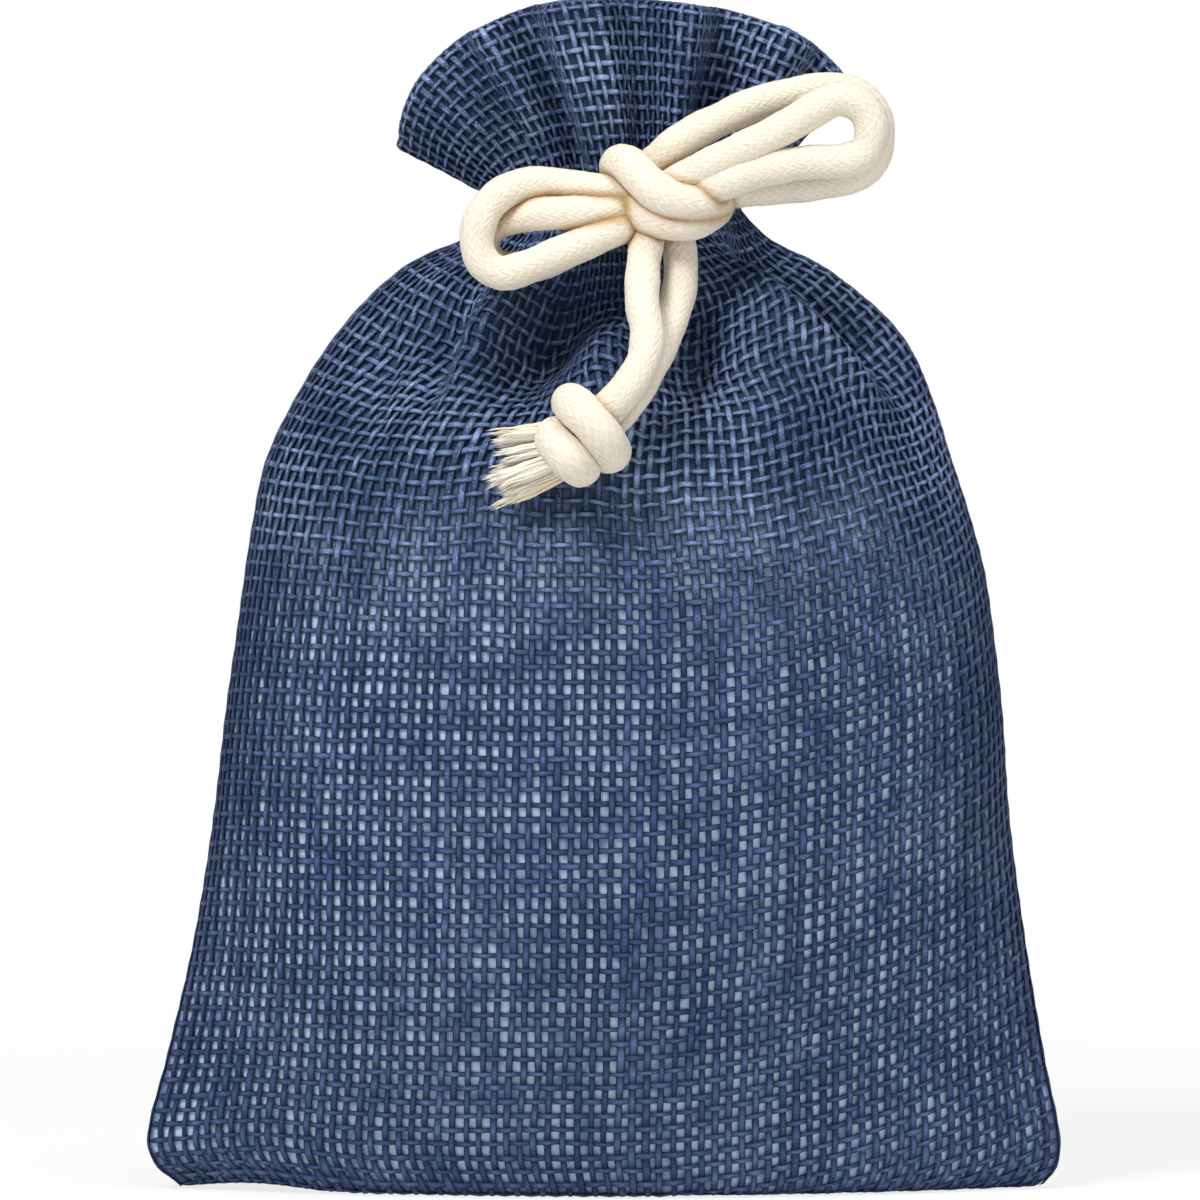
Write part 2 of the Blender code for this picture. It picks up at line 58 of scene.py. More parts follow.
# Cord. One length of soft cream cotton, knitted round, tied in a bow at the neck. Its strands are
# laid along points in millimetres from the middle of the bow's knot: four runs of two loops on
# each side, the two turns of the knot, the two tails, and the turns of their stopper knot.
CORD_DIAMETER = 0.0040
CORD_SIDES = 28
CORD_RING_STEP = 0.00035
CORD_WAVER = 0.018
KNIT_RELIEF = 0.00004
KNOT_MIDDLE = Vector((0.0059, -0.0156, 0.1042))
MM = 0.001
LOOP_ROUTES = {
    "left_loop_front": (
        (-1.5, -0.8, 0.1), (-3.4, -1.3, 0.6), (-5.7, -1.2, 1.1), (-8.8, -0.9, 1.5),
        (-11.4, -0.9, 1.9), (-14.1, -1.5, 1.8), (-16.7, -2.5, 0.8), (-18.5, -3.0, -1.3),
        (-19.1, -3.2, -3.9), (-18.4, -3.3, -6.2), (-16.5, -3.5, -7.3), (-14.2, -3.7, -6.8),
        (-11.3, -3.8, -5.6), (-8.6, -3.6, -4.5), (-5.7, -3.0, -3.2), (-3.0, -1.6, -1.8),
    ),
    "left_loop_back": (
        (-1.7, -0.2, -0.8), (-4.0, -1.9, -0.9), (-6.3, -2.5, -1.1), (-8.8, -2.7, -1.1),
        (-11.5, -2.4, -1.1), (-14.1, -1.4, -1.3), (-16.6, -0.2, -1.9), (-18.2, 0.5, -3.3),
        (-18.4, 0.8, -5.2), (-16.9, 0.7, -6.8), (-14.3, 0.4, -6.8), (-11.4, 0.2, -5.9),
        (-8.8, 0.4, -4.7), (-6.3, 0.7, -3.5), (-4.0, 1.0, -2.5), (-1.9, 1.2, -1.2),
    ),
    "right_loop_front": (
        (-1.1, -1.0, 0.7), (1.0, -2.0, 1.7), (3.4, -2.8, 3.0), (5.6, -3.4, 4.2), (8.2, -3.8, 5.4),
        (10.8, -4.2, 6.7), (13.9, -4.3, 8.4), (16.0, -4.3, 9.7), (18.2, -4.2, 10.7),
        (20.2, -4.1, 10.4), (21.6, -4.0, 9.0), (21.9, -4.0, 7.0), (21.1, -4.0, 5.2),
        (18.9, -4.0, 4.3), (15.5, -4.1, 4.2), (12.4, -4.1, 3.8), (9.3, -4.0, 3.0),
        (6.8, -3.6, 2.1), (4.3, -2.5, 1.4), (2.0, -0.8, 0.6),
    ),
    "right_loop_back": (
        (-1.7, 0.6, 3.3), (-0.1, 0.2, 4.6), (1.5, -0.2, 6.0), (3.9, -0.2, 7.5), (6.2, 0.0, 8.6),
        (9.3, 0.2, 10.0), (12.4, 0.3, 10.9), (15.5, 0.3, 11.5), (18.4, 0.4, 11.7),
        (20.9, 0.5, 10.8), (22.4, 0.6, 8.5), (22.5, 0.6, 5.6), (21.2, 0.5, 3.4),
        (19.0, 0.3, 2.5), (16.4, 0.1, 2.0), (13.5, 0.1, 1.7), (10.4, 0.2, 1.4), (7.8, 0.3, 1.2),
        (5.4, 0.7, 1.1), (2.6, 1.2, 0.8),
    ),
}
KNOT_ROUTES = {
    "knot_cross": (
        (-2.6, 3.0, 1.8), (-4.2, 1.6, 3.2), (-4.1, -0.4, 4.0), (-3.2, -2.2, 3.8),
        (-2.0, -3.6, 2.6), (-0.6, -4.4, 1.3), (1.2, -4.5, 0.3), (3.2, -3.8, -0.1),
        (5.0, -2.0, -0.2), (5.8, 0.4, 0.2), (4.6, 2.6, 1.0),
    ),
    "knot_wrap": (
        (-2.6, 2.6, 0.8), (-3.4, 0.6, 0.2), (-2.9, -1.6, -0.5), (-1.3, -2.9, -1.4),
        (0.8, -3.3, -2.0), (2.9, -2.9, -2.0), (4.7, -1.6, -1.3), (5.8, 0.4, -0.3),
        (5.2, 2.4, 0.8), (2.6, 3.4, 1.6),
    ),
}
TAIL_ROUTES = {
    "left_tail": (
        (0.4, 1.6, 1.6), (-0.5, 0.4, -0.3), (-1.2, -1.2, -2.8), (-1.7, -3.0, -5.6),
        (-1.9, -4.8, -8.0), (-1.9, -6.8, -10.6), (-1.4, -8.6, -13.4), (-1.8, -10.0, -16.2),
        (-3.2, -10.9, -18.6), (-4.9, -11.1, -20.6), (-6.7, -10.9, -22.4), (-8.6, -10.6, -23.8),
    ),
    "right_tail": (
        (0.0, 1.9, 1.6), (0.9, 1.1, -0.3), (1.6, 0.9, -2.7), (2.0, 0.4, -5.0), (2.1, -0.6, -7.8),
        (1.6, -2.2, -10.6), (0.5, -4.2, -13.6), (-0.8, -6.0, -16.4), (-2.4, -7.4, -19.2),
        (-4.2, -8.2, -21.6), (-6.0, -8.6, -23.4), (-7.8, -8.8, -25.2),
    ),
}
STOPPER_ROUTES = {
    "end_knot_turn": (
        (-6.6, -9.4, -23.6), (-8.0, -8.4, -21.9), (-9.3, -9.8, -20.6), (-8.7, -12.3, -21.0),
        (-7.1, -13.4, -22.6), (-5.7, -12.8, -24.4), (-5.2, -10.6, -25.6), (-6.2, -8.4, -25.6),
        (-8.2, -7.7, -24.8), (-10.2, -8.5, -24.1), (-11.0, -10.4, -24.3), (-10.3, -12.2, -25.3),
        (-9.2, -12.4, -26.5), (-8.3, -11.0, -27.2), (-8.3, -9.2, -26.4),
    ),
}


class Shade:
    """A value between a material's nodes: sums on it add Math nodes."""

    def __init__(self, finish, socket):
        self.finish = finish
        self.socket = socket

    def sum(self, operation, first, second):
        made = self.finish.node("ShaderNodeMath", {"operation": operation}, {0: first, 1: second})
        return made[0]

    def __add__(self, other):
        return self.sum("ADD", self, other)

    def __radd__(self, other):
        return self.sum("ADD", other, self)

    def __sub__(self, other):
        return self.sum("SUBTRACT", self, other)

    def __rsub__(self, other):
        return self.sum("SUBTRACT", other, self)

    def __mul__(self, other):
        return self.sum("MULTIPLY", self, other)

    def __rmul__(self, other):
        return self.sum("MULTIPLY", other, self)

    def __truediv__(self, other):
        return self.sum("DIVIDE", self, other)

    def __pow__(self, other):
        return self.sum("POWER", self, other)


class Finish:
    """A material whose shader is a Principled BSDF, and the nodes that feed it."""

    def __init__(self, name, settings):
        self.material = bpy.data.materials.new(name)
        self.material.use_nodes = True
        self.tree = self.material.node_tree
        self.shader = self.tree.nodes["Principled BSDF"]
        for socket, value in settings.items():
            self.shader.inputs[socket].default_value = value

    def node(self, kind, settings=None, sockets=None):
        """Adds a node with its settings, then its sockets' values or links; gives its outputs."""
        node = self.tree.nodes.new(kind)
        for setting, value in (settings or {}).items():
            setattr(node, setting, value)
        for socket, value in (sockets or {}).items():
            if isinstance(value, Shade):
                self.tree.links.new(value.socket, node.inputs[socket])
            else:
                node.inputs[socket].default_value = value
        return [Shade(self, output) for output in node.outputs]

    def feed(self, socket, value):
        self.tree.links.new(value.socket, self.shader.inputs[socket])

    def mixed(self, share, first, second):
        """A colour between two, each one three numbers or a colour from another node."""
        sides = [side if isinstance(side, Shade) else (*side, 1.0) for side in (first, second)]
        made = self.node(
            "ShaderNodeMix", {"data_type": "RGBA"}, {0: share, 6: sides[0], 7: sides[1]}
        )
        return made[2]

    def ranged(self, value, low, high):
        """The share of the way that a value has gone from low to high, smoothed at both ends."""
        settings = {"interpolation_type": "SMOOTHSTEP"}
        return self.node("ShaderNodeMapRange", settings, {0: value, 1: low, 2: high})[0]

    def noise(self, at, scale, detail):
        sockets = {"Vector": at, "Scale": scale, "Detail": detail}
        return self.node("ShaderNodeTexNoise", None, sockets)[0]

    def parts(self, vector):
        return self.node("ShaderNodeSeparateXYZ", None, {0: vector})

    def joined(self, x, y, z):
        return self.node("ShaderNodeCombineXYZ", None, {0: x, 1: y, 2: z})[0]


def smooth_line(points, step):
    """Evenly spaced points on a smooth curve through a strand's own points, as an array."""
    points = np.array([tuple(point) for point in points])
    ends = np.vstack([points[0] * 2 - points[1], points, points[-1] * 2 - points[-2]])
    a, b, c, d = ends[:-3, None], ends[1:-2, None], ends[2:-1, None], ends[3:, None]
    t = np.linspace(0, 1, 24, endpoint=False)[None, :, None]
    curve = (
        b * 2 + (c - a) * t + (a * 2 - b * 5 + c * 4 - d) * t**2 + (b * 3 - a - c * 3 + d) * t**3
    ) / 2
    curve = np.vstack([curve.reshape(-1, 3), points[-1:]])
    along = np.concatenate([[0], np.cumsum(np.linalg.norm(np.diff(curve, axis=0), axis=1))])
    even = np.linspace(0, along[-1], max(4, round(along[-1] / step)) + 1)
    return np.stack([np.interp(even, along, curve[:, k]) for k in range(3)], axis=1)


def unit(vectors):
    return vectors / np.maximum(np.linalg.norm(vectors, axis=-1, keepdims=True), 1e-12)


def steady_sides(line):
    """Two directions square to a line at each of its points, turning as little as they can."""
    ahead = unit(np.gradient(line, axis=0))
    side = np.zeros_like(line)
    side[0] = unit(np.cross(ahead[0], (0.13, 0.31, 0.94)))
    for index in range(1, len(line)):
        kept = side[index - 1] - ahead[index] * np.dot(side[index - 1], ahead[index])
        side[index] = unit(kept)
    return side, np.cross(ahead, side)


def lay_tubes(name, rings, tones, uv_length):
    """Closed tubes in one mesh, from one grid: rings holds their points as
    tube, place along, place around. The map runs along each tube in metres and once round it."""
    tubes, places, sides = rings.shape[:3]
    tones = np.broadcast_to(tones, (tubes, places, sides))
    columns = tubes * (sides + 1)
    bm = bmesh.new()
    uv_layer = bm.loops.layers.uv.new("strand")
    tone_layer = bm.verts.layers.float.new("tone")
    bmesh.ops.create_grid(
        bm, x_segments=columns - 1, y_segments=places - 1, size=1.0, calc_uvs=True
    )
    spots = [
        (round((vert.co.x + 1) / 2 * (columns - 1)), round((vert.co.y + 1) / 2 * (places - 1)))
        for vert in bm.verts
    ]
    for vert, (column, place) in zip(bm.verts, spots):
        tube, side = divmod(column, sides + 1)
        vert.co = rings[tube, place, side % sides]
        vert[tone_layer] = tones[tube, place, side % sides]
    between = []
    for face in bm.faces:
        for loop in face.loops:
            loop[uv_layer].uv.x *= columns - 1
            loop[uv_layer].uv.y *= uv_length
        lows = [loop[uv_layer].uv.x for loop in face.loops]
        if round(min(lows)) % (sides + 1) == sides:
            between.append(face)
    bmesh.ops.delete(bm, geom=between, context="FACES")
    for face in bm.faces:
        low = round(min(loop[uv_layer].uv.x for loop in face.loops))
        first = low - low % (sides + 1)
        for loop in face.loops:
            loop[uv_layer].uv.x = (loop[uv_layer].uv.x - first) / sides
    bmesh.ops.remove_doubles(bm, verts=bm.verts, dist=1e-7)
    bmesh.ops.recalc_face_normals(bm, faces=bm.faces)
    mesh = bpy.data.meshes.new(name)
    bm.to_mesh(mesh)
    bm.free()
    mesh.shade_smooth()
    piece = bpy.data.objects.new(name, mesh)
    bpy.context.scene.collection.objects.link(piece)
    return piece


def round_rings(line, size, sides):
    """Rings of a round strand along a line, with its radius at each place."""
    side, up = steady_sides(line)
    around = np.linspace(0, 2 * math.pi, sides, endpoint=False)
    circle = side[:, None] * np.cos(around)[None, :, None]
    circle = circle + up[:, None] * np.sin(around)[None, :, None]
    return line[:, None] + circle * size[:, None, None]


def line_length(line):
    return float(np.linalg.norm(np.diff(line, axis=0), axis=1).sum())


cotton = Finish("cotton_cord", {"Roughness": 0.9, "Specular IOR Level": 0.2, "Sheen Weight": 0.1})
cotton.shader.inputs["Sheen Roughness"].default_value = 0.5
WALES = 11.0
COURSE = 1.05
uv = cotton.parts(cotton.node("ShaderNodeUVMap", {"uv_map": "strand"})[0])
place = cotton.node("ShaderNodeTexCoord")[3]
crease = cotton.node("ShaderNodeAttribute", {"attribute_name": "tone"})[2]
along_strand = uv[1] * 1000.0
wale = uv[0] * WALES
slant = cotton.node("ShaderNodeMath", {"operation": "PINGPONG"}, {0: wale, 1: 0.5})[0]
turn = (along_strand / COURSE + slant * 1.8) * 6.2832
stitch = cotton.node("ShaderNodeMath", {"operation": "SINE"}, {0: turn})[0]
blotch = cotton.noise(place, 260.0, 3.0)
fibre = cotton.noise(cotton.joined(uv[0] * 60.0, along_strand * 1.6, 0.0), 1.6, 5.0)
pale = cotton.ranged(stitch * 0.6 + (fibre - 0.5) * 3.4, -1.4, 1.0)
cream = cotton.mixed(pale, (0.72, 0.61, 0.45), (0.84, 0.77, 0.65))
cream = cotton.mixed(blotch * 0.5, cream, (0.86, 0.80, 0.69))
# Painted shade: the creases where strands press together are tinted dark ochre, from the tone
# attribute.
cream = cotton.mixed(crease**1.6 * 0.95, cream, (0.46, 0.29, 0.12))
cotton.feed("Base Color", cream)
height = stitch * 0.25 + fibre * 1.5 + blotch * 0.7
bump = cotton.node("ShaderNodeBump", None, {"Strength": 0.6, "Distance": 0.0002, "Height": height})
cotton.feed("Normal", bump[0])

strand_lines = {}
for strand_name, route in {**LOOP_ROUTES, **KNOT_ROUTES, **TAIL_ROUTES, **STOPPER_ROUTES}.items():
    spots = [KNOT_MIDDLE + Vector(point) * MM for point in route]
    strand_lines[strand_name] = smooth_line(spots, CORD_RING_STEP)


def creases(rings, strand_name):
    """How deep each point lies in the crease between its strand and the others, 0 to 1, the share
    of painted shade there.
    """
    nearest = np.full(rings.shape[:2], 1.0)
    for other_name, other in strand_lines.items():
        if other_name == strand_name:
            continue
        for row, ring in enumerate(rings):
            gaps = np.linalg.norm(ring[:, None] - other[None, ::3], axis=2).min(axis=1)
            nearest[row] = np.minimum(nearest[row], gaps)
    radius = CORD_DIAMETER / 2
    return np.clip(1.5 - nearest / radius, 0, 0.5) * 2


def lay_strand(strand_name, swell):
    """One strand of the cord as a knitted tube with blunt closed ends."""
    line = strand_lines[strand_name]
    along = np.concatenate([[0], np.cumsum(np.linalg.norm(np.diff(line, axis=0), axis=1))])
    waver = np.sin(along * 900 + len(strand_name)) + np.sin(along * 1570 + 2.0)
    size = CORD_DIAMETER / 2 * swell * (1 + CORD_WAVER * waver)
    for reach in (along, along[-1] - along):
        close = np.clip(reach / (CORD_DIAMETER * 0.4), 0, 1)
        size = size * np.sqrt(np.clip(1 - (1 - close) ** 2, 0, 1))
    rings = round_rings(line, size, CORD_SIDES)
    outward = unit(rings - line[:, None])
    around = np.linspace(0, 1, CORD_SIDES, endpoint=False)[None, :]
    leaning = np.abs((around * WALES) % 1 - 0.5) * 2
    rib = np.cos(around * WALES * 2 * math.pi)
    course = np.sin((along[:, None] / (COURSE * MM) + leaning * 0.9) * 2 * math.pi)
    rings = rings + outward * (rib * 0.55 + course * 0.45)[..., None] * KNIT_RELIEF
    piece = lay_tubes(strand_name, rings[None], creases(rings, strand_name)[None], along[-1])
    piece.data.materials.append(cotton.material)
    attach(piece, "root")
    return piece


# Each strand's width as a share of the cord's: full in the knots, drawn thinner elsewhere.
SWELLS = {"knot_cross": 1.02, "knot_wrap": 0.98, "end_knot_turn": 1.06}
DRAWN_SWELL = 0.90
strands = {
    strand_name: lay_strand(strand_name, SWELLS.get(strand_name, DRAWN_SWELL))
    for strand_name in strand_lines
}
for strand_name in (*LOOP_ROUTES, *TAIL_ROUTES):
    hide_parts(strand_name)
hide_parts("bow_knot")
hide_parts("end_knot")
neck_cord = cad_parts["neck_cord"]
neck_cord.data.materials.clear()
neck_cord.data.materials.append(cotton.material)

# Frayed ends. Past the stopper knot each end of the cord opens into bundles of its cotton yarn,
# which fan out and end in uneven points.
BUNDLES = 12
BUNDLE_FIBRES = 20
BUNDLE_RADIUS = 0.55
FIBRE_RADIUS = 0.00015
frayed = Finish(
    "frayed_cotton", {"Roughness": 0.85, "Specular IOR Level": 0.2, "Sheen Weight": 0.3}
)
valley = frayed.node("ShaderNodeAttribute", {"attribute_name": "tone"})[2]
# Painted shade: the tone attribute tints the fibres ochre towards the valley between the tufts.
frayed.feed("Base Color", frayed.mixed(valley, (0.92, 0.87, 0.77), (0.66, 0.46, 0.22)))
random = np.random.default_rng(7)


def fray(name, start, end, root_spread, tip_spread, valley_side):
    """A tuft of separate wavy fibres in bundles, that fan out from a cord's end. The fibres carry
    painted shade, ochre, on the side where the other tuft's valley is, and a small random tone."""
    start = np.array(KNOT_MIDDLE) + np.array(start) * MM
    end = np.array(KNOT_MIDDLE) + np.array(end) * MM
    length = np.linalg.norm(end - start)
    ahead = unit(end - start)
    side = unit(np.cross(ahead, (0.0, 1.0, 0.0)))
    up = np.cross(side, ahead)
    share = np.linspace(0, 1, 12)
    rings = []
    tones = []
    for bundle in range(BUNDLES):
        lean = (bundle + 0.5) / BUNDLES * 2 - 1
        depth = random.uniform(-0.5, 0.5)
        bundle_reach = random.uniform(0.8, 1.06)
        for _ in range(BUNDLE_FIBRES):
            turn = random.uniform(0, 2 * math.pi)
            out = math.sqrt(random.uniform(0, 1)) * BUNDLE_RADIUS * MM
            strayed = side * math.cos(turn) * out + up * math.sin(turn) * out
            root = side * lean * root_spread + up * depth * root_spread * 1.4 + strayed
            tip = side * lean * tip_spread + up * depth * tip_spread * 0.8 + strayed * 0.55
            tip = tip + ahead * length * bundle_reach * random.uniform(0.82, 1.04)
            wave = random.uniform(0.00004, 0.00022)
            phase = random.uniform(0, 2 * math.pi)
            line = start + root + (tip - root) * share[:, None]
            line = line + side * (np.sin(share * 8 + phase) * wave * share)[:, None]
            line = line + up * (np.cos(share * 6 + phase) * wave * share)[:, None]
            size = FIBRE_RADIUS * (1.25 - 0.85 * share)
            size[0] = 0.0
            size[-1] = 0.0
            rings.append(round_rings(line, size, 5))
            valley_shade = np.clip(lean * valley_side - 0.35, 0, 1) * np.clip(1.25 - share, 0, 1)
            tones.append(valley_shade + random.uniform(0.0, 0.16))
    piece = lay_tubes(name, np.array(rings), np.array(tones)[..., None], length)
    piece.data.materials.append(frayed.material)
    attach(piece, "root")
    return piece


upper_fray = fray("upper_end_fray", (-9.6, -10.4, -23.8), (-17.3, -9.0, -25.2), 0.0011, 0.0016, -1)
lower_fray = fray("lower_end_fray", (-9.4, -9.8, -26.4), (-18.2, -8.4, -30.0), 0.0014, 0.0022, 1)
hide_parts("upper_end")
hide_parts("lower_end")

for strand_name in LOOP_ROUTES:
    line = strand_lines[strand_name]
    line_length(line)
for strand_name in TAIL_ROUTES:
    line = strand_lines[strand_name]
    line_length(line)

# Cloth form. The pouch is a flat bag of 100 by 140 mm, filled until it stands; its top is gathered
# by the cord and fans out above it. Sizes are metres; heights are shares of the neck's height.
BASE_WIDTH = 0.0962
BAG_DEPTH = 0.0450
FOOT_WIDTH = 0.0904
FOOT_DEPTH = 0.0250
NECK_HEIGHT = 0.1033
NECK_WIDTH = 0.0216
NECK_DEPTH = 0.0190
NECK_LEAN = 0.0028
HEADER_RISE = 0.0215
HEADER_DROP_LEFT = 0.0134
HEADER_DROP_RIGHT = 0.0082
HEADER_REACH_LEFT = 0.0206
HEADER_REACH_RIGHT = 0.0242
HEADER_DEPTH = 0.0200
HEADER_WALL = 0.0011
SHOULDER_FOLD = 0.0034
NECK_FOLD = 0.0006
RIM_FOLD = 0.0034
BAG_OUTLINE = (
    (0.000, 0.932, 0.0006, 0.230, 0.96),
    (0.014, 0.970, 0.0004, 0.270, 1.00),
    (0.045, 1.000, 0.0000, 0.370, 1.00),
    (0.132, 0.949, 0.0002, 0.600, 0.86),
    (0.252, 0.883, 0.0006, 0.830, 0.69),
    (0.378, 0.832, 0.0008, 0.965, 0.58),
    (0.500, 0.800, 0.0011, 1.000, 0.53),
    (0.620, 0.752, 0.0012, 0.985, 0.51),
    (0.683, 0.712, 0.0009, 0.930, 0.50),
    (0.744, 0.657, 0.0006, 0.845, 0.50),
    (0.804, 0.578, 0.0012, 0.730, 0.50),
    (0.866, 0.468, 0.0018, 0.550, 0.50),
    (0.927, 0.286, 0.0014, 0.300, 0.50),
    (0.958, 0.126, 0.0016, 0.140, 0.50),
    (1.000, 0.000, NECK_LEAN, 0.000, 0.50),
)
SHOULDER_GATHERS = (
    (-160, -0.7), (-138, 0.7), (-114, -0.6), (-90, 0.5), (-64, 0.1), (-43, -0.2), (-31, 0.2),
    (-18, -0.4), (-4, 0.2), (12, -0.3), (28, 0.3), (46, 0.3), (66, -0.4), (88, 0.4),
    (112, -0.6), (136, 0.7), (158, -0.7), (180, 0.6),
)
HEADER_GATHERS = (
    (-162, -0.9), (-140, 0.9), (-116, -0.8), (-92, 0.6), (-70, 0.4), (-50, -0.8), (-37, 0.6),
    (-25, -1.0), (-14, 0.7), (-2, 0.3), (8, -1.0), (21, 0.9), (34, -1.0), (52, 0.8), (74, -0.4),
    (95, 0.7), (118, -0.9), (140, 0.9), (161, -0.8), (180, 0.8),
)
SHOULDER_STRENGTH = (
    (0.0, 0.0), (0.56, 0.0), (0.68, 0.18), (0.76, 0.48), (0.82, 0.78), (0.88, 1.0), (0.94, 0.95),
    (0.97, 0.5), (1.0, 0.0),
)
HEADER_STRENGTH = ((1.0, 0.0), (1.1, 0.4), (1.4, 0.8), (2.0, 1.0))
# Each fold of the front: its height (less than 0 for a valley) and width in metres, and the places
# that it runs through, each the angle round from the front in degrees and the share of the height.
FRONT_FOLDS = (
    (-0.0066, 0.0044, ((4, 0.975), (-2, 0.947), (-8, 0.917), (-16, 0.885), (-21, 0.857),
                       (-22, 0.82), (-21, 0.75))),
    (0.0018, 0.0018, ((-24, 0.94), (-30, 0.897), (-34, 0.882), (-35, 0.857), (-34, 0.83),
                      (-31, 0.765))),
    (-0.0028, 0.0024, ((-42, 0.95), (-46, 0.90), (-40, 0.86), (-38, 0.82), (-34, 0.765))),
    (0.0016, 0.0026, ((-2, 0.935), (-6, 0.905), (-6, 0.865), (-9, 0.825))),
    (-0.0048, 0.0038, ((26, 0.965), (22, 0.935), (18, 0.90), (16, 0.855), (12, 0.815), (8, 0.74))),
    (0.0020, 0.0048, ((31, 0.93), (32, 0.86), (34, 0.81), (32, 0.759), (24, 0.69))),
    (0.0020, 0.0018, ((50, 0.975), (41, 0.935), (40, 0.90), (48, 0.85), (58, 0.812), (76, 0.775))),
    (-0.0036, 0.0028, ((66, 0.975), (58, 0.955), (60, 0.915), (66, 0.87), (80, 0.82))),
    (-0.0018, 0.0030, ((-64, 0.92), (-58, 0.86), (-52, 0.80), (-50, 0.73))),
    (0.0006, 0.0060, ((-80, 0.66), (-30, 0.62), (0, 0.61), (30, 0.64), (80, 0.72))),
)
# Shares of a fold's length over which it rises at its upper end, and fades at its lower end.
FOLD_RISE = 0.4
FOLD_FADE = 0.4


def smooth_through(rows, places):
    """Values of the rows at each place, on cubic curves through them."""
    rows = np.array(rows)
    at, values = rows[:, 0], rows[:, 1:]
    low = np.clip(np.searchsorted(at, places) - 1, 0, len(at) - 2)
    before, after = np.maximum(low - 1, 0), np.minimum(low + 2, len(at) - 1)
    span = at[low + 1] - at[low]
    t = ((np.clip(places, at[0], at[-1]) - at[low]) / span)[..., None]
    rise_low = (values[low + 1] - values[before]) * (span / (at[low + 1] - at[before]))[..., None]
    rise_high = (values[after] - values[low]) * (span / (at[after] - at[low]))[..., None]
    mixed = (2 * t**3 - 3 * t**2 + 1) * values[low] + (t**3 - 2 * t**2 + t) * rise_low
    mixed = mixed + (3 * t**2 - 2 * t**3) * values[low + 1] + (t**3 - t**2) * rise_high
    return np.moveaxis(mixed, -1, 0)


def straight_through(rows, places):
    return np.interp(places, [row[0] for row in rows], [row[1] for row in rows])


def eased(value, low, high):
    """0 below low, 1 above high, and a smooth step between."""
    share = np.clip((value - low) / (high - low), 0, 1)
    return share * share * (3 - 2 * share)


def gather_height(gathers, angle):
    """Height of the ridges and valleys at each angle, as half cosine waves between them."""
    ring = [(gathers[-1][0] - 360, gathers[-1][1]), *gathers, (gathers[0][0] + 360, gathers[0][1])]
    at = np.array([row[0] for row in ring], float)
    heights = np.array([row[1] for row in ring])
    degrees = np.degrees((angle + math.pi) % (2 * math.pi) - math.pi)
    low = np.clip(np.searchsorted(at, degrees) - 1, 0, len(at) - 2)
    turn = (1 - np.cos(math.pi * (degrees - at[low]) / (at[low + 1] - at[low]))) / 2
    return heights[low] + (heights[low + 1] - heights[low]) * turn


def bag_points(angle, share):
    """Points of the smooth bag from its foot (share 0) to the neck (share 1)."""
    spread, shift, fullness, point = smooth_through(BAG_OUTLINE, share)
    half_width = (NECK_WIDTH + (BASE_WIDTH - NECK_WIDTH) * spread) / 2
    half_depth = (NECK_DEPTH + (BAG_DEPTH - NECK_DEPTH) * fullness) / 2
    foot = np.clip(1 - share / 0.014, 0, 1)
    half_width = half_width + (FOOT_WIDTH / 2 - half_width) * foot
    half_depth = half_depth + (FOOT_DEPTH / 2 - half_depth) * foot
    cosine = np.cos(angle)
    depth = np.sign(cosine) * np.abs(cosine) ** (2 * point)
    x = shift + half_width * np.sin(angle)
    return np.stack([x, -half_depth * depth, NECK_HEIGHT * share], axis=-1)


def header_points(angle, share):
    """Points of the smooth header from the neck (share 0) to its rim (share 1)."""
    sine = np.sin(angle)
    cosine = np.cos(angle)
    reach = np.where(sine > 0, HEADER_REACH_RIGHT, HEADER_REACH_LEFT)
    drop = np.where(sine > 0, HEADER_DROP_RIGHT, HEADER_DROP_LEFT)
    rim_height = NECK_HEIGHT + HEADER_RISE - drop * (1 - np.sqrt(np.clip(1 - sine**2, 0, 1)))
    neck = np.stack(
        [NECK_LEAN + sine * NECK_WIDTH / 2, -cosine * NECK_DEPTH / 2, sine * 0 + NECK_HEIGHT], -1
    )
    rim = np.stack([sine * reach, -cosine * HEADER_DEPTH / 2, rim_height], -1)
    flare = share**1.12
    lift = share**0.92
    grown = np.stack([flare, flare, lift], axis=-1)
    return neck + (rim - neck) * grown


def smooth_points(angle, place):
    angle, place = np.broadcast_arrays(angle, place)
    low = bag_points(angle, np.clip(place, 0, 1))
    high = header_points(angle, np.clip(place - 1, 0, 1))
    return np.where((place <= 1)[..., None], low, high)


def front_folds(points):
    """Height of the front's folds at each point, from its distance to each fold's own line."""
    height = np.zeros(points.shape[:-1])
    for fold_height, fold_width, places in FRONT_FOLDS:
        places = np.array(places, float)
        step = np.linspace(0, len(places) - 1, 42)
        angle = np.interp(step, np.arange(len(places)), places[:, 0])
        share = np.interp(step, np.arange(len(places)), places[:, 1])
        line = smooth_points(np.radians(angle), share)
        reach = fold_width * 2.6
        box_low, box_high = line.min(axis=0) - reach, line.max(axis=0) + reach
        near = np.all((points > box_low) & (points < box_high), axis=-1) & (points[..., 1] < 0)
        gaps = np.linalg.norm(points[near][:, None] - line[None], axis=2)
        closest = gaps.argmin(axis=1)
        along = step[closest] / step[-1]
        taper = eased(along, 0, FOLD_RISE) * eased(1 - along, 0, FOLD_FADE)
        height[near] += fold_height * taper * np.exp(-((gaps.min(axis=1) / fold_width) ** 2))
    return height


def surface_normals(points):
    """Outward directions on a grid of points, place up the cloth by place round it."""
    around = np.roll(points, -1, axis=1) - np.roll(points, 1, axis=1)
    up = np.gradient(points, axis=0)
    return unit(np.cross(around, up))


